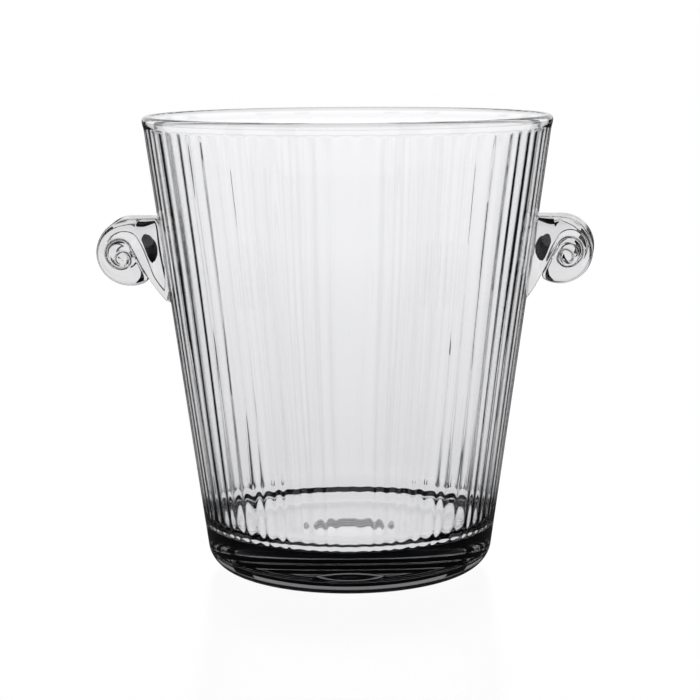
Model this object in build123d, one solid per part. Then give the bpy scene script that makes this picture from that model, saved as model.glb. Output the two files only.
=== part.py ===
from build123d import *
import math
import os

# A blown clear glass champagne bucket with two scrolled lug handles, in millimetres.
# +Z is up and +X runs out through the right handle.
# The origin lies on the resting plane, below the middle of the bowl.

# Bowl: a tapered gather with a thick solid base
height = 230.0  # resting plane to the top of the lip
foot_radius = 71.2  # the wall's outer line carried down to the resting plane
mouth_radius = 102.5  # the same line at the top of the lip
wall = 4.2  # thickness between two ribs, measured level
base_thickness = 22.0  # solid glass below the inner floor
heel_radius = 13.3  # rounding where the wall turns under the base
floor_fillet = 8.0  # rounding where the wall meets the inner floor
lip_radius = 2.6  # fire-polished bead round the mouth

# Ribs drawn down the inside of the wall
rib_count = 72
rib_depth = 0.6
rib_lip_gap = 6.0  # smooth band between the top of the ribs and the top of the lip
rib_relief = 0.05  # the hollows between ribs stop this far inside the smooth wall

# Ground and polished dimple in the middle of the underside
dimple_radius = 18.5
dimple_depth = 4.5

# Handles: a hot strap laid on the wall, drawn out and curled down into a scroll
scroll_stand = 32.4  # how far a scroll's outermost point stands off the wall at its own height
scroll_radius = 16.8
scroll_drop = 67.6  # top of the lip down to the middle of a scroll
strap_width = 34.0
root_bottom_drop = 25.0  # bottom of the strap at the wall, below the middle of the scroll
shoulder_radius = 3.0  # softened edges of the strap's sides
crease_radius = 1.0  # softened crease where the scroll curls back to the strap
left_twist = 0.0  # turn of a scroll about the upright through its middle, in degrees
right_twist = -8.0

# Seam of the scroll: the narrow gap left between its turns
seam_gap = 0.8
seam_mouth = -124.6  # where the seam opens in the scroll's rim, degrees from level and outward
seam_heading = 63.0  # degrees above level
seam_run = 1.19  # straight stretch beside the root, as a share of the scroll's radius
seam_bends = (0.36, 0.42, 0.48, 0.27, 0.24, 0.21, 0.12)  # radius of each bend after it, as such a share
seam_turn = 90.0  # how far each bend turns, after the first has levelled out
seam_lead = 2.0  # the strap's underside runs this far into the scroll before it turns into the seam

taper = (mouth_radius - foot_radius) / height
scroll_height = height - scroll_drop
overrun = 10.0  # how far a cutting or joining shape runs past what it meets
mouth_angle = math.radians(seam_mouth)
mouth_distance = scroll_radius + seam_gap / 2
seam_start = (mouth_distance * math.cos(mouth_angle), mouth_distance * math.sin(mouth_angle))


def outer_radius(z):
    """The smooth outside of the wall at a height."""
    return foot_radius + taper * z


def inner_radius(z):
    """The smooth inside of the wall, at the hollows between ribs."""
    return outer_radius(z) - wall


def turned(outline):
    """Revolve a closed outline, drawn as radius and height, about the bowl's axis."""
    return revolve(Plane.XZ * make_face(outline), Axis.Z)


def filled_bowl():
    """The outside of the bowl with no cavity, up to the middle of the lip bead."""
    level = height - lip_radius
    outside = FilletPolyline(
        (outer_radius(level), level),
        (outer_radius(0), 0),
        (0, 0),
        radius=heel_radius,
    )
    return turned(outside + Polyline((0, 0), (0, level), outside @ 0))


def lip():
    """The rounded bead that closes the top of the wall."""
    level = height - lip_radius
    middle = (outer_radius(level) + inner_radius(level)) / 2
    return revolve(Plane.XZ * (Pos(middle, level) * Circle(lip_radius)), Axis.Z)


def smooth_cavity():
    """The inside of the bowl as if it had no ribs."""
    top = height + overrun
    inside = FilletPolyline(
        (inner_radius(top), top),
        (inner_radius(base_thickness), base_thickness),
        (0, base_thickness),
        radius=floor_fillet,
    )
    return turned(inside + Polyline(inside @ 1, (0, top), inside @ 0))


def ribbed_ring(z):
    """The inside of the wall at a height, as one shallow hollow after another."""
    hollow = inner_radius(z) - rib_relief
    ridge = hollow - rib_depth
    step = 2 * math.pi / rib_count
    arcs = []
    for index in range(rib_count):
        start, middle, end = index * step, (index + 0.5) * step, (index + 1) * step
        arcs.append(
            ThreePointArc(
                (ridge * math.cos(start), ridge * math.sin(start), z),
                (hollow * math.cos(middle), hollow * math.sin(middle), z),
                (ridge * math.cos(end), ridge * math.sin(end), z),
            )
        )
    return Face(Wire(arcs))


def rib_sleeve():
    """The glass that stands proud of the smooth wall as ribs."""
    low = base_thickness + floor_fillet
    high = height - rib_lip_gap
    core = Solid.make_loft([ribbed_ring(low).outer_wire(), ribbed_ring(high).outer_wire()], ruled=True)
    band = Polyline(
        (0, low),
        (inner_radius(low), low),
        (inner_radius(high), high),
        (0, high),
        close=True,
    )
    return turned(band) - core


def dimple():
    """A shallow dome of air under the middle of the base."""
    dome_radius = (dimple_radius**2 + dimple_depth**2) / (2 * dimple_depth)
    return Pos(0, 0, dimple_depth - dome_radius) * Sphere(dome_radius)


def bowl():
    """The whole bowl, one piece of glass."""
    return filled_bowl() + lip() - smooth_cavity() + rib_sleeve() - dimple()


def along_seam(distance):
    """A point on the seam's straight stretch, from the middle of the scroll."""
    heading = math.radians(seam_heading)
    return (seam_start[0] + distance * math.cos(heading), seam_start[1] + distance * math.sin(heading))


def seam_path():
    """Middle line of the gap between the scroll's turns, about the middle of the scroll."""
    path = [Line(seam_start, along_seam(seam_run * scroll_radius))]
    turn = seam_heading
    for share in seam_bends:
        radius = share * scroll_radius
        path.append(JernArc(start=path[-1] @ 1, tangent=path[-1] % 1, radius=radius, arc_size=-turn))
        turn = seam_turn
    return Curve() + path


def strap_outline(centre):
    """The strap seen from its side, as distance out from the bowl's axis and height."""
    bottom = scroll_height - root_bottom_drop
    top = scroll_height + scroll_radius
    lead = along_seam(seam_lead)
    inner_end = (centre + lead[0], scroll_height + lead[1])
    inside = (outer_radius(bottom) - overrun, bottom - overrun)
    heading = math.radians(seam_heading)
    underside = TangentArc(inner_end, inside, tangent=(-math.cos(heading), -math.sin(heading)))
    rest = Polyline(inside, (inside[0], top), (centre, top), (centre, scroll_height), inner_end)
    outline = make_face(underside + rest) + Pos(centre, scroll_height) * Circle(scroll_radius)
    crease = outline.vertices().sort_by_distance((centre + seam_start[0], scroll_height + seam_start[1]))[0]
    return fillet(crease, crease_radius)


def handle_reach():
    """The bowl's axis to the outermost point of a scroll."""
    return outer_radius(scroll_height) + scroll_stand


def scroll_centre(twist):
    """How far out the middle of a scroll lies, so that its outermost point is at the handle's reach."""
    turn = math.radians(abs(twist))
    level = (scroll_radius - shoulder_radius) * math.cos(turn)
    across = (strap_width / 2 - shoulder_radius) * math.sin(turn)
    return handle_reach() - level - across - shoulder_radius


def handle(twist):
    """One handle on the +X side, trimmed to the outside of the wall."""
    centre = scroll_centre(twist)
    blank = extrude(Plane.XZ * strap_outline(centre), strap_width / 2, both=True)
    sides = blank.faces().sort_by(Axis.Y)
    softened = fillet(sides[0].edges() + sides[-1].edges(), shoulder_radius)
    seam = trace(Pos(centre, scroll_height) * seam_path(), seam_gap)
    strap = softened - extrude(Plane.XZ * seam, strap_width, both=True)
    pivot = Axis((centre, 0, 0), (0, 0, 1))
    return strap.rotate(pivot, twist) - filled_bowl()


os.makedirs("parts", exist_ok=True)
export_step(bowl(), "parts/bowl.step")
export_step(handle(right_twist), "parts/right_handle.step")
export_step(mirror(handle(left_twist), about=Plane.YZ), "parts/left_handle.step")
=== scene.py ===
import math

import bpy
from mathutils import Matrix, Quaternion, Vector


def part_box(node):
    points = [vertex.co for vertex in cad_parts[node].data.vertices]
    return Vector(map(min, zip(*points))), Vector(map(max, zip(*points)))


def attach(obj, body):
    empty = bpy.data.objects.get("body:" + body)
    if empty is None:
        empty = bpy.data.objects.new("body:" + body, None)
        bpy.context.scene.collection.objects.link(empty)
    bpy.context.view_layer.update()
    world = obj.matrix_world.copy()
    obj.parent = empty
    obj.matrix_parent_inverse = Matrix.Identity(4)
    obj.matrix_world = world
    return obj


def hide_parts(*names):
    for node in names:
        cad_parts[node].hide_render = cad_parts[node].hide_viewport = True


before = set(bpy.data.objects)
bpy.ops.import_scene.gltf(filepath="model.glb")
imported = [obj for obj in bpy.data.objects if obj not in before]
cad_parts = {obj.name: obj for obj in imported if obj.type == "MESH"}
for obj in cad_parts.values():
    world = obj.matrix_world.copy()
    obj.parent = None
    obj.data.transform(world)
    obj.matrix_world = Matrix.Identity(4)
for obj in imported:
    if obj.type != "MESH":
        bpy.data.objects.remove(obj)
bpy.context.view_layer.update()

MM = 0.001

# ---------------------------------------------------------------- bowl, in metres

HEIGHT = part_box("bowl")[1].z
FOOT_RADIUS = 71.2 * MM
MOUTH_RADIUS = 102.5 * MM
TAPER = (MOUTH_RADIUS - FOOT_RADIUS) / HEIGHT
WALL = 4.2 * MM
BASE_THICKNESS = 22.0 * MM
HEEL_RADIUS = 13.3 * MM
FLOOR_FILLET = 12.0 * MM
LIP_RADIUS = 2.4 * MM
LIP_BLEND = 5.0 * MM
DIMPLE_RADIUS = 18.5 * MM
DIMPLE_DEPTH = 4.5 * MM

RIBS = 72
RIB_DEPTH = 0.34 * MM
RIB_START = 4.5 * MM  # below the top of the lip
RIB_FADE_IN = 4.0 * MM  # the ribs reach full depth within this length of wall
RIB_FADE_OUT = 6.0 * MM  # and run out within this width of floor
ON_FLOOR = 0.01 * MM  # a point this close to the inner floor lies on it

# No rib of blown glass is quite like the next. A wave round the wall is (waves in a whole turn, size,
# start), and one up the wall is (radians per millimetre, size, how often it shifts through in a turn).
RIB_WANDER = ((3, 0.12, 0.4), (7, 0.10, 2.1), (17, 0.10, 4.0), (41, 0.07, 1.2))  # as shares of the spacing
RIB_LEAN = (0.031, 0.07, 5)  # as a share of the spacing
RIB_STRENGTH = 0.78  # the usual share of the full depth
RIB_UNEVENNESS = ((11, 0.12, 1.0), (23, 0.13, 3.3), (37, 0.10, 0.2))
RIB_SWELL = (0.045, 0.06, 9)

# how many steps each stretch of the bowl's section is drawn with
STEPS_PER_RIB = 10
DIMPLE_STEPS = 18
REST_STEPS = 8
HEEL_STEPS = 18
WALL_STEPS = 14
LIP_BLEND_STEPS = 8
LIP_STEPS = 20
INNER_BLEND_STEPS = 10
INNER_WALL_STEPS = 24
FILLET_STEPS = 16
FLOOR_STEPS = 22

# ---------------------------------------------------------------- handles, in metres

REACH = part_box("right_handle")[1].x
SCROLL_RADIUS = 16.8 * MM
SCROLL_HEIGHT = HEIGHT - 67.6 * MM
ROOT_DROP = 25.0 * MM  # bottom of the strap at the wall, below the scroll's middle
UNDERSIDE_HEADING = 50.0  # degrees above level where the underside leaves the wall
LEFT_TWIST = 0.0  # degrees about the upright through the scroll's middle
RIGHT_TWIST = -8.0

STRAP_WIDTH = 34.0 * MM
SIDE_MARGIN = 0.05 * MM  # the strap stays this far inside its width at each side
WIDTH_WAVE = 0.12 * MM  # the strap was drawn by hand, so its width wavers
WIDTH_WAVE_RATE = 21.0  # radians along the whole strap
SHOULDER_RADIUS = 6.0 * MM
ROLLED_SHOULDER_LOSS = 0.6  # share of the shoulder's radius that is lost inside the scroll
ROLL_START = 0.42  # share of the strap's length where it starts to roll in
ROLL_SPAN = 0.3
EYE_RECESS = 0.2 * MM  # the rolled part is this much narrower at each side
FACE_DOME = 2.2 * MM  # the rolled end bulges this far past its rim
DOME_SPREAD = 1.15  # the bulge ends this many scroll radii from the middle
ROUND_LIMIT = 0.9  # an edge is rounded by at most this share of half the strap's thickness

WALL_GAP = 0.03 * MM  # keeps the strap's skin and the wall's skin from coinciding
ROOT_CLEARANCE = 0.6 * MM  # the strap's edges start this far off the wall, and its root is laid on it
BOX_MARGIN = 0.01 * MM  # the scroll stops this far inside its reach
REACH_ROUNDS = 3  # times that the scroll is moved until its reach is right
ROOT_CAP_SHARES = (0.8, 0.6, 0.4, 0.2)  # rings that close the root, as shares of its outline

SEAM_GAP = 0.2 * MM
SEAM_ROUND = 0.9 * MM  # rounding of the strap's edges along the seam
SEAM_MOUTH = -124.6  # degrees round the scroll where the seam opens
SEAM_HEADING = 63.0  # degrees above level
SEAM_RUN = 1.19  # straight part of the seam, in scroll radii
SEAM_BENDS = (0.36, 0.42, 0.48, 0.27, 0.24, 0.21, 0.12)  # bend radii, in scroll radii
CREASE_SPAN = 9.0  # degrees of the rim used to turn into the seam
CREASE_PULL = 1.3 * MM  # how softly it turns

# how many steps each stretch of the strap is drawn with

LEAD_STEPS = 4  # the seam's first steps, which the turns into it take up
STRAIGHT_STEPS = 28
FIRST_BEND_STEPS = 16
TURN_STEPS = 32  # each bend of the seam after the first
CREASE_STEPS = 10
UNDERSIDE_STEPS = 14
CORNER_STEPS = 10
WIDTH_STEPS = 10
THICKNESS_STEPS = 8

# ---------------------------------------------------------------- glass

GLASS_TINT = "#FDFDFE"
GLASS_BODY = "#5C5C64"  # the tone that thick glass tends to
GLASS_IOR = 1.52
BOWL_DEPTH = 13.0  # absorption per metre
STRAP_DEPTH = 10.0
BOWL_RIPPLES = (16.7 * MM, 16.7 * MM, 71.4 * MM)  # length of a ripple along X, Y and Z
STRAP_RIPPLES = (25.0 * MM, 4.55 * MM, 25.0 * MM)
RIPPLE_RISE = 0.05 * MM
REST_WEAR = 0.3 * MM  # the rubbed skin reaches this far up from the resting plane
RUB_MARK = 1.11 * MM  # width of a rub mark, drawn as coarse as it needs to show
RUB_ROUGHNESS = 0.06
RUB_ONSET = 0.45  # noise level where a rub mark begins
RUB_FULL = 0.7

# ---------------------------------------------------------------- light and set, in metres

FLOOR_SPREAD = 8.0
FLOOR_LEVEL = -0.3 * MM
GRADED_LEVEL = -0.2 * MM
SHADE_LEVEL = -0.1 * MM
FLOOR_SHEEN = 0.05
SHEEN_ROUGHNESS = 0.16
# the glow of the sweep as the glass shows it, at each distance from the axis: painted light under the foot,
# painted shade in a ring round it, brighter again far off
SWEEP_STOPS = ((0.0, 1.25), (0.062, 1.2), (0.085, 0.95), (0.12, 0.90),
               (0.25, 0.86), (0.5, 0.92), (1.5, 1.05), (6.0, 1.16))

# black of the flags, also used for the painted shade round the foot and the painted shadows under the
# handles
FLAG_AND_SHADE_BLACK = "#0A0A10"
FLAG_MIDDLES = (31.0, 59.0)  # degrees within each quarter
FLAG_SPAN = 11.0
FLAG_DISTANCE = 0.45
FLAG_HEIGHT = 0.5
FLAG_FOOT = 0.12  # a strip on the floor joins each flag from here
FLAG_STEPS = 6
# painted shadow on the floor under each handle, met only through the glass
SHADE_INNER = 0.085
SHADE_FULL = 0.14  # the shade starts to thin out here
SHADE_OUTER = 0.30
SHADE_SPAN = 100.0
SHADE_FEATHER = 22.0  # degrees at each end over which the shade thins out
SHADE_STEPS = 24
# a dark ring round the foot, met only through the glass: painted shade in the base
COLLAR_RADIUS = 0.080
COLLAR_INNER = 0.0795  # its turned-in foot ends here
COLLAR_HEIGHT = 0.015
COLLAR_STEPS = 96

BACKDROP = 1.06  # strength of the room behind, as seen through the glass
BACKDROP_TOP = 14.0  # degrees above the level where the bright backdrop ends
CEILING = 0.0
FADE = 3.0  # degrees over which the backdrop gives way to the ceiling
MIRROR_TOP = 24.0  # degrees above the level where what the glass mirrors starts to darken
OVERHEAD = 0.1  # what the glass mirrors from overhead
BELOW = 0.03  # what the glass mirrors from below the level
LEVEL_BLUR = 1.0  # degrees to each side of the level

SENSOR_WIDTH = 36.0  # millimetres, as Blender takes it
LENS = 100.93  # millimetres too
CAMERA_PITCH = math.radians(9.13)
CAMERA_ROLL = math.radians(0.33)
CAMERA_PLACE = (0.63 * MM, -988.0 * MM, 269.3 * MM)


# ---------------------------------------------------------------- lines and curves

def smooth(t):
    """0 to 1 with a soft start and end."""
    t = min(1.0, max(0.0, t))
    return t * t * (3 - 2 * t)


def sway(place, *waves):
    """A smooth, repeatable wander made of (rate, size, start) waves."""
    return sum(size * math.sin(rate * place + start) for rate, size, start in waves)


def heading_vector(degrees):
    """A step of length 1 in this direction."""
    return Vector((math.cos(math.radians(degrees)), math.sin(math.radians(degrees))))


def run(start, end, steps):
    """Points along a straight stretch, without its last point."""
    return [start.lerp(end, i / steps) for i in range(steps)]


def bend(centre, radius, start, end, steps):
    """Points round an arc, angles in degrees, without its last point."""
    return [centre + heading_vector(start + (end - start) * i / steps) * radius for i in range(steps)]


def ease(start, start_pull, end_pull, end, steps):
    """Points along a cubic curve, without its last point."""
    points = []
    for i in range(steps):
        t = i / steps
        s = 1 - t
        points.append(start * s ** 3 + start_pull * 3 * s * s * t + end_pull * 3 * s * t * t + end * t ** 3)
    return points


def resample(points, count):
    """The same line of points with another number of steps."""
    picked = []
    for i in range(count):
        place = i * len(points) / count
        low = int(place)
        high = min(low + 1, len(points) - 1)
        picked.append(points[low].lerp(points[high], place - low))
    return picked


def mesh_piece(name, points, faces):
    """A smooth-shaded mesh object in the scene."""
    mesh = bpy.data.meshes.new(name)
    mesh.from_pydata(points, [], faces)
    mesh.shade_smooth()
    mesh.update()
    piece = bpy.data.objects.new(name, mesh)
    bpy.context.scene.collection.objects.link(piece)
    return piece


# ---------------------------------------------------------------- bowl

def outer_radius(z):
    """The outside of the wall at a height."""
    return FOOT_RADIUS + TAPER * z


def inner_radius(z):
    """The inside of the wall at a height, without its ribs."""
    return outer_radius(z) - WALL


def rib_height(turn, z):
    """How proud the ribs stand at a place on the wall, from 0 to about 1."""
    around = 2 * math.pi * turn
    lean_rate, lean_size, lean_turns = RIB_LEAN
    swell_rate, swell_size, swell_turns = RIB_SWELL
    wander = sway(around, *RIB_WANDER) + sway(z / MM, (lean_rate, lean_size, lean_turns * around))
    strength = RIB_STRENGTH + sway(around, *RIB_UNEVENNESS)
    strength += sway(z / MM, (swell_rate, swell_size, swell_turns * around))
    return strength * (0.5 + 0.5 * math.cos(2 * math.pi * (turn * RIBS + wander)))


def bowl_section():
    """The glass cut through from the middle of the underside, round the lip, to the middle of the floor.
    Each point comes with the share of the rib depth that it carries."""
    lean = math.degrees(math.atan(TAPER))
    # an arc tangent to a level face and to the wall touches the face this many radii from their corner
    corner_reach = math.tan(math.radians((90 - lean) / 2))
    upward = Vector((TAPER, 1)).normalized()

    dome = (DIMPLE_RADIUS ** 2 + DIMPLE_DEPTH ** 2) / (2 * DIMPLE_DEPTH)
    dimple_edge = math.degrees(math.asin(DIMPLE_RADIUS / dome))
    heel = Vector((FOOT_RADIUS - HEEL_RADIUS * corner_reach, HEEL_RADIUS))
    wall_foot = heel + heading_vector(-lean) * HEEL_RADIUS
    lip_z = HEIGHT - LIP_RADIUS
    lip = Vector(((outer_radius(lip_z) + inner_radius(lip_z)) / 2, lip_z))
    lip_out = lip + Vector((LIP_RADIUS, 0))
    lip_in = lip - Vector((LIP_RADIUS, 0))
    blend_z = lip_z - LIP_BLEND
    wall_top = Vector((outer_radius(blend_z), blend_z))
    inner_top = Vector((inner_radius(blend_z), blend_z))
    lip_drop = Vector((0, LIP_BLEND / 3))

    outside = bend(Vector((0, DIMPLE_DEPTH - dome)), dome, 90, 90 - dimple_edge, DIMPLE_STEPS)
    outside += run(Vector((DIMPLE_RADIUS, 0)), Vector((heel.x, 0)), REST_STEPS)
    outside += bend(heel, HEEL_RADIUS, -90, -lean, HEEL_STEPS)
    outside += run(wall_foot, wall_top, WALL_STEPS)
    outside += ease(wall_top, wall_top + upward * LIP_BLEND / 2,
                    lip_out - lip_drop, lip_out, LIP_BLEND_STEPS)
    outside += bend(lip, LIP_RADIUS, 0, 180, LIP_STEPS)

    corner_x = inner_radius(BASE_THICKNESS) - FLOOR_FILLET * corner_reach
    corner = Vector((corner_x, BASE_THICKNESS + FLOOR_FILLET))
    inner_foot = corner + heading_vector(-lean) * FLOOR_FILLET
    floor_edge = Vector((corner.x, BASE_THICKNESS))
    inside = ease(lip_in, lip_in - lip_drop,
                  inner_top + upward * LIP_BLEND / 2, inner_top, INNER_BLEND_STEPS)
    inside += run(inner_top, inner_foot, INNER_WALL_STEPS)
    inside += bend(corner, FLOOR_FILLET, -lean, -90, FILLET_STEPS)
    inside += run(floor_edge, Vector((0, BASE_THICKNESS)), FLOOR_STEPS)

    section = [(p, 0.0) for p in outside]
    for p in inside:
        share = smooth((HEIGHT - p.y - RIB_START) / RIB_FADE_IN)
        if p.y < BASE_THICKNESS + ON_FLOOR:
            share *= smooth(1 - (floor_edge.x - p.x) / RIB_FADE_OUT)
        section.append((p, share))
    return section


def make_bowl():
    """The section turned about the axis, with its ribs."""
    section = bowl_section()
    around = RIBS * STEPS_PER_RIB
    floor_middle = Vector((0, BASE_THICKNESS))
    first, rest = section[0], section[1:]
    points = [(0, 0, first[0].y)]
    for row, (p, share) in enumerate(rest):
        before = section[row][0]
        after = rest[row + 1][0] if row + 1 < len(rest) else floor_middle
        along = (after - before).normalized()
        out_of_glass = Vector((along.y, -along.x))
        for i in range(around):
            turn = i / around
            q = p + out_of_glass * (share * RIB_DEPTH * rib_height(turn, p.y)) if share else p
            a = 2 * math.pi * turn
            points.append((q.x * math.cos(a), q.x * math.sin(a), q.y))
    points.append((0, 0, BASE_THICKNESS))

    last = len(points) - 1
    last_row = 1 + (len(rest) - 1) * around
    faces = []
    for i in range(around):
        j = (i + 1) % around
        faces.append((0, 1 + j, 1 + i))
        for a in range(1, last_row, around):
            faces.append((a + i, a + j, a + around + j, a + around + i))
        faces.append((last_row + i, last_row + j, last))
    return mesh_piece("blown_bowl", points, faces)


# ---------------------------------------------------------------- handles

def seam_pieces():
    """The seam between the scroll's turns, straight first and then bend after bend, about the scroll's
    middle. Each point comes with the direction of the glass that lies inside the seam."""
    pen = heading_vector(SEAM_MOUTH) * (SCROLL_RADIUS + SEAM_GAP / 2)
    straight_length = SEAM_RUN * SCROLL_RADIUS
    along = heading_vector(SEAM_HEADING)
    inward = heading_vector(SEAM_HEADING - 90)
    steps = STRAIGHT_STEPS + LEAD_STEPS
    pieces = [[(pen + along * (straight_length * i / steps), inward) for i in range(steps)]]
    pen = pen + along * straight_length
    heading = SEAM_HEADING
    turn = SEAM_HEADING
    for number, share in enumerate(SEAM_BENDS):
        radius = share * SCROLL_RADIUS
        middle = pen + heading_vector(heading - 90) * radius
        steps = FIRST_BEND_STEPS if number == 0 else TURN_STEPS
        piece = []
        for i in range(steps):
            inward = heading_vector(heading - turn * i / steps - 90)
            piece.append((middle - inward * radius, inward))
        pieces.append(piece)
        heading -= turn
        pen = middle - heading_vector(heading - 90) * radius
        turn = 90.0
    return pieces


def beside(pieces, side):
    """The seam's pieces moved to one of its sides, joined."""
    return [point + inward * side for piece in pieces for point, inward in piece]


def strap_edges(middle_x):
    """Outer and inner edge of the strap seen from its side, wall to tip, about the scroll's middle."""
    half_gap = SEAM_GAP / 2
    seam = seam_pieces()
    along_seam = heading_vector(SEAM_HEADING)
    outer_first = beside(seam[:2], half_gap)
    inner_first = beside(seam[:2], -half_gap)
    root_top = outer_radius(SCROLL_HEIGHT + SCROLL_RADIUS) - middle_x + ROOT_CLEARANCE
    root_bottom = outer_radius(SCROLL_HEIGHT - ROOT_DROP) - middle_x + ROOT_CLEARANCE

    wall_bottom = Vector((root_bottom, -ROOT_DROP))
    underside_end = inner_first[LEAD_STEPS]
    pull = (underside_end - wall_bottom).length / 3
    underside = ease(wall_bottom, wall_bottom + heading_vector(UNDERSIDE_HEADING) * pull,
                     underside_end - along_seam * pull, underside_end, UNDERSIDE_STEPS)

    centre = Vector((0, 0))
    rim_turn = SEAM_MOUTH + CREASE_SPAN
    rim_end = heading_vector(rim_turn) * SCROLL_RADIUS
    crease_end = outer_first[LEAD_STEPS]
    rim = bend(centre, SCROLL_RADIUS, -90, rim_turn, TURN_STEPS - CREASE_STEPS)
    rim += ease(rim_end, rim_end + heading_vector(rim_turn - 90) * CREASE_PULL,
                crease_end - along_seam * CREASE_PULL, crease_end, CREASE_STEPS)

    # The outer edge goes round the rim before it enters the seam, so the inner edge is a turn ahead. It
    # reaches the eye first, and comes back along the seam's last two bends.
    level_steps = UNDERSIDE_STEPS + len(inner_first) - LEAD_STEPS
    outer = run(Vector((root_top, SCROLL_RADIUS)), Vector((0, SCROLL_RADIUS)), level_steps)
    outer += bend(centre, SCROLL_RADIUS, 90, -90, 2 * TURN_STEPS)
    outer += rim + outer_first[LEAD_STEPS:] + beside(seam[2:6], half_gap)
    inner = underside + inner_first[LEAD_STEPS:] + beside(seam[2:5], -half_gap)
    inner += resample(beside(seam[5:6], -half_gap), STRAIGHT_STEPS + FIRST_BEND_STEPS)
    inner += beside(seam[6:8], -half_gap)
    inner += list(reversed(beside(seam[6:8], half_gap)))
    return outer, inner


def rounded_ring(outer, inner, half_width, outer_round, inner_round):
    """One ring of the strap: a rounded oblong between the two edges, across the strap's width."""
    middle = (outer + inner) / 2
    half = (outer - inner).length / 2
    up = (outer - inner) / (2 * half)
    outer_round = min(outer_round, half * ROUND_LIMIT)
    inner_round = min(inner_round, half * ROUND_LIMIT)

    def on_corner(rise, side, soft, degrees):
        angle = math.radians(degrees)
        return (rise * (half - soft) + soft * math.sin(angle),
                side * (half_width - soft) + soft * math.cos(angle))

    corners = ((1, 1, outer_round, 90), (-1, 1, inner_round, 0),
               (-1, -1, inner_round, -90), (1, -1, outer_round, -180))
    loop = []
    for number, (rise, side, soft, start) in enumerate(corners):
        for i in range(CORNER_STEPS + 1):
            loop.append(on_corner(rise, side, soft, start - 90 * i / CORNER_STEPS))
        here = loop[-1]
        goal = on_corner(*corners[(number + 1) % len(corners)])
        steps = THICKNESS_STEPS if number % 2 == 0 else WIDTH_STEPS
        for i in range(1, steps):
            loop.append(tuple(a + (b - a) * i / steps for a, b in zip(here, goal)))
    return [Vector((middle.x + up.x * h, y, middle.y + up.y * h)) for h, y in loop]


def laid_on_wall(p):
    """The place on the outside of the wall that has the same height and the same distance sideways."""
    keep = outer_radius(p.z) + WALL_GAP
    return Vector((math.sqrt(keep ** 2 - p.y ** 2), p.y, p.z))


def kept_off_wall(p):
    """The point itself, or its place laid on the wall if it would lie inside the wall."""
    return p if math.hypot(p.x, p.y) > outer_radius(p.z) + WALL_GAP else laid_on_wall(p)


def strap_rings(middle_x, twist):
    """All rings of a handle on the +X side, wall to tip, kept outside the wall."""
    outer, inner = strap_edges(middle_x)
    swing = Matrix.Rotation(math.radians(twist), 3, "Z")
    place = Vector((middle_x, 0, SCROLL_HEIGHT))
    rings = []
    for i, (o, n) in enumerate(zip(outer, inner)):
        share = i / (len(outer) - 1)
        rolled = smooth((share - ROLL_START) / ROLL_SPAN)
        half_width = STRAP_WIDTH / 2 - SIDE_MARGIN - EYE_RECESS * rolled
        half_width -= WIDTH_WAVE * (1 + math.sin(WIDTH_WAVE_RATE * share))
        shoulder = SHOULDER_RADIUS * (1 - ROLLED_SHOULDER_LOSS * rolled)
        ring = rounded_ring(o, n, half_width, shoulder, SEAM_ROUND)
        for p in ring:
            away = min(1.0, math.hypot(p.x, p.z) / (DOME_SPREAD * SCROLL_RADIUS))
            p.y *= 1 - FACE_DOME / half_width * (1 - math.cos(math.pi * away)) / 2
        rings.append([kept_off_wall(swing @ p + place) for p in ring])
    return rings


def make_handle(name, twist, side):
    """A strap pressed to the wall, drawn out level and rolled down into a scroll."""
    middle_x = REACH - SCROLL_RADIUS
    for _ in range(REACH_ROUNDS):
        rings = strap_rings(middle_x, twist)
        middle_x += REACH - BOX_MARGIN - max(p.x for ring in rings for p in ring)
    rings[0] = [laid_on_wall(p) for p in rings[0]]
    around = len(rings[0])
    points = [p for ring in rings for p in ring]
    faces = []
    for a in range(0, (len(rings) - 1) * around, around):
        for i in range(around):
            j = (i + 1) % around
            faces.append((a + i, a + j, a + around + j, a + around + i))

    root_middle = sum(rings[0], Vector()) / around
    before = list(range(around))
    for share in ROOT_CAP_SHARES:
        now = list(range(len(points), len(points) + around))
        points += [laid_on_wall(root_middle.lerp(p, share)) for p in rings[0]]
        for i in range(around):
            j = (i + 1) % around
            faces.append((before[j], before[i], now[i], now[j]))
        before = now
    points.append(laid_on_wall(root_middle))
    faces += [(before[(i + 1) % around], before[i], len(points) - 1) for i in range(around)]

    tip = (len(rings) - 1) * around
    points.append(sum(rings[-1], Vector()) / around)
    faces += [(tip + i, tip + (i + 1) % around, len(points) - 1) for i in range(around)]
    if side < 0:
        points = [Vector((-p.x, p.y, p.z)) for p in points]
    else:
        faces = [tuple(reversed(face)) for face in faces]
    return mesh_piece(name, points, faces)


# ---------------------------------------------------------------- materials

def linear(hex_colour):
    """sRGB hex to linear RGBA."""
    channels = [int(hex_colour[i:i + 2], 16) / 255 for i in (1, 3, 5)]
    return [c / 12.92 if c <= 0.04045 else ((c + 0.055) / 1.055) ** 2.4 for c in channels] + [1.0]


def empty_material(name):
    """A new material and its node tree with nothing in it."""
    material = bpy.data.materials.new(name)
    material.use_nodes = True
    material.node_tree.nodes.clear()
    return material, material.node_tree


def add_node(tree, kind, settings=None, links=None):
    """Add a node, set its sockets and properties, and link its inputs."""
    node = tree.nodes.new(kind)
    for key, value in (settings or {}).items():
        if isinstance(key, str) and hasattr(node, key):
            setattr(node, key, value)
        else:
            node.inputs[key].default_value = value
    for key, source in (links or {}).items():
        tree.links.new(source, node.inputs[key])
    return node


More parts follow.
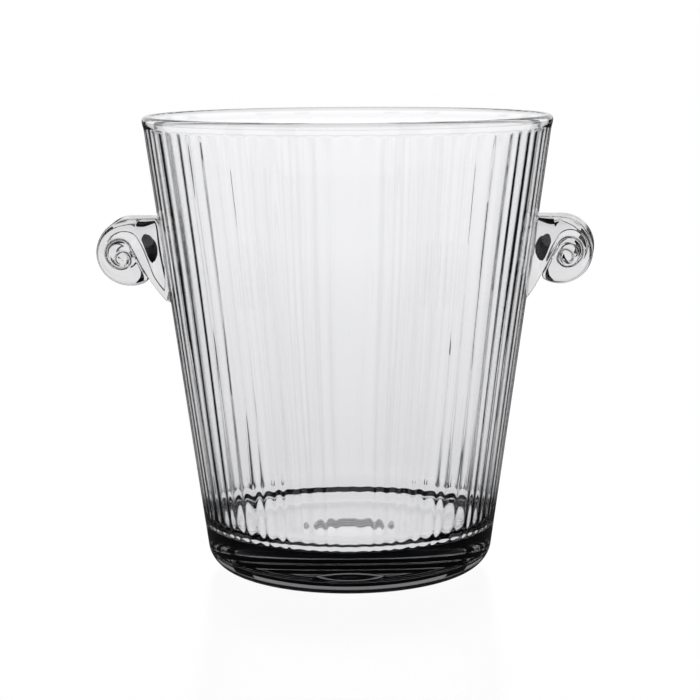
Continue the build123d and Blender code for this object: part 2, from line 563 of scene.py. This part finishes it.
def clear_glass(name, density, ripple_lengths, rest_rough):
    """Clear glass of a given depth of tone, with a rippled skin and a rubbed resting face."""
    material, tree = empty_material(name)
    place = add_node(tree, "ShaderNodeTexCoord")
    drawn = add_node(tree, "ShaderNodeMapping", {"Scale": [1 / length for length in ripple_lengths]},
                     {"Vector": place.outputs["Object"]})
    waves = add_node(tree, "ShaderNodeTexNoise", {"Scale": 1.0, "Detail": 1.5, "Roughness": 0.45},
                     {"Vector": drawn.outputs[0]})
    skin_bump = add_node(tree, "ShaderNodeBump", {"Strength": 1.0, "Distance": RIPPLE_RISE},
                         {"Height": waves.outputs["Fac"]})
    axes = add_node(tree, "ShaderNodeSeparateXYZ", None, {"Vector": place.outputs["Object"]})
    resting = add_node(tree, "ShaderNodeMapRange", {
        "From Min": 0.0, "From Max": REST_WEAR, "To Min": 1.0, "To Max": 0.0}, {"Value": axes.outputs["Z"]})
    rubs = add_node(tree, "ShaderNodeTexNoise", {"Scale": 1 / RUB_MARK, "Detail": 4.0},
                    {"Vector": place.outputs["Object"]})
    rubbed = add_node(tree, "ShaderNodeMapRange", {
        "From Min": RUB_ONSET, "From Max": RUB_FULL, "To Min": 0.0, "To Max": rest_rough},
        {"Value": rubs.outputs["Fac"]})
    rough = add_node(tree, "ShaderNodeMath", {"operation": "MULTIPLY"},
                     {0: rubbed.outputs[0], 1: resting.outputs[0]})
    skin = add_node(tree, "ShaderNodeBsdfPrincipled", {
        "Base Color": linear(GLASS_TINT), "IOR": GLASS_IOR, "Transmission Weight": 1.0},
        {"Roughness": rough.outputs[0], "Normal": skin_bump.outputs[0]})
    body = add_node(tree, "ShaderNodeVolumeAbsorption", {"Color": linear(GLASS_BODY), "Density": density})
    add_node(tree, "ShaderNodeOutputMaterial", None, {"Surface": skin.outputs[0], "Volume": body.outputs[0]})
    return material


def dull_flag_and_shade_black(name):
    """Black cloth with no sheen at all for the flags; round the foot the same black is painted shade. It is
    met only through the glass, as a dark streak in a rib or as darkness in the base.
    """
    material = bpy.data.materials.new(name)
    material.use_nodes = True
    weave = material.node_tree.nodes["Principled BSDF"]
    weave.inputs["Base Color"].default_value = linear(FLAG_AND_SHADE_BLACK)
    weave.inputs["Roughness"].default_value = 1.0
    weave.inputs["Specular IOR Level"].default_value = 0.0
    return material


def feathered_painted_shadow(name):
    """The same black as a painted shadow on the floor under a handle, thinning out to nothing at a shade's
    outer edge and towards its ends, so that the glass shows it as a soft darkening and never as an edge."""
    material, tree = empty_material(name)
    place = add_node(tree, "ShaderNodeTexCoord")
    reach = add_node(tree, "ShaderNodeVectorMath", {"operation": "LENGTH"}, {0: place.outputs["Object"]})
    outward = add_node(tree, "ShaderNodeMapRange", {
        "interpolation_type": "SMOOTHSTEP", "From Min": SHADE_FULL, "From Max": SHADE_OUTER,
        "To Min": 1.0, "To Max": 0.0}, {"Value": reach.outputs["Value"]})
    axes = add_node(tree, "ShaderNodeSeparateXYZ", None, {"Vector": place.outputs["Object"]})
    along = add_node(tree, "ShaderNodeMath", {"operation": "ABSOLUTE"}, {0: axes.outputs["X"]})
    heading = add_node(tree, "ShaderNodeMath", {"operation": "ARCTAN2"},
                       {0: axes.outputs["Y"], 1: along.outputs[0]})
    off_middle = add_node(tree, "ShaderNodeMath", {"operation": "ABSOLUTE"}, {0: heading.outputs[0]})
    endward = add_node(tree, "ShaderNodeMapRange", {
        "interpolation_type": "SMOOTHSTEP", "From Min": math.radians(SHADE_SPAN / 2 - SHADE_FEATHER),
        "From Max": math.radians(SHADE_SPAN / 2), "To Min": 1.0, "To Max": 0.0},
        {"Value": off_middle.outputs[0]})
    cover = add_node(tree, "ShaderNodeMath", {"operation": "MULTIPLY"},
                     {0: outward.outputs[0], 1: endward.outputs[0]})
    bare = add_node(tree, "ShaderNodeBsdfTransparent")
    dark = add_node(tree, "ShaderNodeBsdfDiffuse", {"Color": linear(FLAG_AND_SHADE_BLACK)})
    mix = add_node(tree, "ShaderNodeMixShader", None,
                   {"Fac": cover.outputs[0], 1: bare.outputs[0], 2: dark.outputs[0]})
    add_node(tree, "ShaderNodeOutputMaterial", None, {"Surface": mix.outputs[0]})
    return material


def lit_sweep(name):
    """Pale backlit sweep. A weak sheen mirrors what stands on it."""
    material, tree = empty_material(name)
    glow = add_node(tree, "ShaderNodeEmission", {"Color": (1, 1, 1, 1), "Strength": 1.0})
    mirror = add_node(tree, "ShaderNodeBsdfGlossy", {"Color": (1, 1, 1, 1), "Roughness": SHEEN_ROUGHNESS})
    mix = add_node(tree, "ShaderNodeMixShader", {"Fac": FLOOR_SHEEN},
                   {1: glow.outputs[0], 2: mirror.outputs[0]})
    add_node(tree, "ShaderNodeOutputMaterial", None, {"Surface": mix.outputs[0]})
    return material


def painted_light_and_shade_sweep(name, stops):
    """The sweep as the glass bends it into view, glowing by stops of (radius, strength): painted light under
    the foot and painted shade in a ring round it.
    """
    material, tree = empty_material(name)
    place = add_node(tree, "ShaderNodeTexCoord")
    reach = add_node(tree, "ShaderNodeVectorMath", {"operation": "LENGTH"}, {0: place.outputs["Object"]})
    far = stops[-1][0]
    share = add_node(tree, "ShaderNodeMath", {"operation": "DIVIDE", 1: far}, {0: reach.outputs["Value"]})
    ramp = add_node(tree, "ShaderNodeValToRGB", None, {"Fac": share.outputs[0]})
    elements = ramp.color_ramp.elements
    while len(elements) < len(stops):
        elements.new(0.5)
    for element, (radius, strength) in zip(elements, stops):
        element.position = radius / far
        element.color = (strength, strength, strength, 1)
    glow = add_node(tree, "ShaderNodeEmission", None, {"Color": ramp.outputs["Color"]})
    add_node(tree, "ShaderNodeOutputMaterial", None, {"Surface": glow.outputs[0]})
    return material


# ---------------------------------------------------------------- the three pieces of glass

# Blown against ribs and fire-polished: mirror smooth, with slow upright waves that bend the light behind.
blown = clear_glass("fire_polished_soda_glass", BOWL_DEPTH, BOWL_RIPPLES, RUB_ROUGHNESS)
# Pulled and rolled hot: cords run along the strap, so the light breaks into fine streaks across its width.
# It never touches the table, so it has no rubbed face.
tooled = clear_glass("hot_tooled_soda_glass", STRAP_DEPTH, STRAP_RIPPLES, 0.0)

bowl = make_bowl()
bowl.data.materials.append(blown)
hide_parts("bowl")
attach(bowl, "root")
for node, twist, side in (("left_handle", LEFT_TWIST, -1), ("right_handle", RIGHT_TWIST, 1)):
    strap = make_handle(node.replace("handle", "scrolled_lug"), twist, side)
    strap.data.materials.append(tooled)
    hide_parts(node)
    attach(strap, "root")


# ---------------------------------------------------------------- stage

def seen_by(piece, camera=False, diffuse=False, transmission=False):
    """Choose which rays meet a piece of the set. Nothing on it is mirrored or throws a shadow."""
    piece.visible_camera = camera
    piece.visible_diffuse = diffuse
    piece.visible_glossy = False
    piece.visible_transmission = transmission
    piece.visible_shadow = False


def set_piece(name, points, faces, material):
    """A piece of the set, which isn't part of the object."""
    piece = mesh_piece(name, points, faces)
    piece.data.materials.append(material)
    return piece


def floor_sheet(name, level, material):
    """A wide square at a level just below the object."""
    corners = [(x * FLOOR_SPREAD, y * FLOOR_SPREAD, level) for x, y in ((-1, -1), (1, -1), (1, 1), (-1, 1))]
    return set_piece(name, corners, [(0, 1, 2, 3)], material)


def ring_sector(name, start_rz, end_rz, material, steps, start=0.0, span=360.0):
    """A band round the object between two places given as (radius, height), or a sector of one.
    Only light that has passed through the glass meets it."""
    points = []
    for r, z in (start_rz, end_rz):
        for i in range(steps + 1):
            a = math.radians(start + span * i / steps)
            points.append((r * math.cos(a), r * math.sin(a), z))
    row = steps + 1
    faces = [(i, i + 1, row + i + 1, row + i) for i in range(steps)]
    seen_by(set_piece(name, points, faces, material), transmission=True)


def light_room():
    """A white room for the camera and the floor. Through the glass it is a bright backdrop under a dark
    ceiling, and in the glass's own mirror it is a bright band between a dark floor and a dark overhead."""
    world = bpy.data.worlds.new("pale_room_with_dark_floor_reflection")
    bpy.context.scene.world = world
    world.use_nodes = True
    tree = world.node_tree
    tree.nodes.clear()
    place = add_node(tree, "ShaderNodeTexCoord")
    axes = add_node(tree, "ShaderNodeSeparateXYZ", None, {"Vector": place.outputs["Generated"]})
    path = add_node(tree, "ShaderNodeLightPath")

    def by_height(low, high, below, above):
        """From one strength to another between two elevations in degrees."""
        return add_node(tree, "ShaderNodeMapRange", {
            "From Min": math.sin(math.radians(low)), "From Max": math.sin(math.radians(high)),
            "To Min": below, "To Max": above}, {"Value": axes.outputs["Z"]}).outputs[0]

    def joined(operation, first, second):
        return add_node(tree, "ShaderNodeMath", {"operation": operation}, {0: first, 1: second}).outputs[0]

    backdrop = by_height(BACKDROP_TOP, BACKDROP_TOP + FADE, BACKDROP, CEILING)
    above_level = by_height(-LEVEL_BLUR, LEVEL_BLUR, BELOW, 1.0)
    below_overhead = by_height(MIRROR_TOP, MIRROR_TOP + 2 * FADE, 1.0, OVERHEAD)
    direct = joined("MAXIMUM", path.outputs["Is Camera Ray"], path.outputs["Is Diffuse Ray"])
    through_glass = joined("MULTIPLY", backdrop, path.outputs["Is Transmission Ray"])
    banded = joined("MULTIPLY", above_level, below_overhead)
    off_glass = joined("MULTIPLY", banded, path.outputs["Is Glossy Ray"])
    strength = joined("MAXIMUM", direct, joined("MAXIMUM", through_glass, off_glass))
    glow = add_node(tree, "ShaderNodeBackground", {"Color": (1, 1, 1, 1)}, {"Strength": strength})
    add_node(tree, "ShaderNodeOutputWorld", None, {"Surface": glow.outputs[0]})


flag_and_painted_shade_black = dull_flag_and_shade_black("flag_and_painted_shade_black")
seen_by(floor_sheet("floor", FLOOR_LEVEL, lit_sweep("pale_sweep")), camera=True, diffuse=True)
# the floor that only the glass shows, with painted light under the foot and painted shade round it
graded_floor = floor_sheet("floor_through_glass", GRADED_LEVEL, painted_light_and_shade_sweep("painted_light_and_shade_sweep", SWEEP_STOPS))
seen_by(graded_floor, transmission=True)

for quarter in range(4):
    for middle in FLAG_MIDDLES:
        start = 90 * quarter + middle - FLAG_SPAN / 2
        label = f"{quarter}_{int(middle)}"
        foot, top = (FLAG_DISTANCE, 0.0), (FLAG_DISTANCE, FLAG_HEIGHT)
        ring_sector(f"flag_{label}", foot, top, flag_and_painted_shade_black, FLAG_STEPS, start, FLAG_SPAN)
        ring_sector(f"flag_foot_{label}", (FLAG_FOOT, 0.0), foot, flag_and_painted_shade_black, FLAG_STEPS, start, FLAG_SPAN)

# painted shadows on the floor under the handles, which the glass shows as darkness in the handles and low in
# the wall
painted_shadow_black = feathered_painted_shadow("painted_handle_shadow_sheet")
for side in (0, 180):
    ring_sector(f"painted_handle_shadow_{side}", (SHADE_INNER, SHADE_LEVEL), (SHADE_OUTER, SHADE_LEVEL), painted_shadow_black,
                SHADE_STEPS, side - SHADE_SPAN / 2, SHADE_SPAN)

# painted shade in the base: a dark ring round the foot that only the glass shows
ring_sector("collar", (COLLAR_RADIUS, 0.0), (COLLAR_RADIUS, COLLAR_HEIGHT), flag_and_painted_shade_black, COLLAR_STEPS)
ring_sector("collar_foot", (COLLAR_INNER, SHADE_LEVEL), (COLLAR_RADIUS, SHADE_LEVEL), flag_and_painted_shade_black,
            COLLAR_STEPS)

light_room()

# ---------------------------------------------------------------- camera

scene = bpy.context.scene
scene.view_settings.view_transform = "Standard"

camera = bpy.data.objects.new("camera", bpy.data.cameras.new("camera"))
scene.collection.objects.link(camera)
scene.camera = camera
camera.data.sensor_width = SENSOR_WIDTH
camera.data.lens = LENS
camera.location = CAMERA_PLACE
look = Vector((0, math.cos(CAMERA_PITCH), -math.sin(CAMERA_PITCH)))
camera.rotation_mode = "QUATERNION"
camera.rotation_quaternion = Quaternion(look, CAMERA_ROLL) @ look.to_track_quat("-Z", "Y")
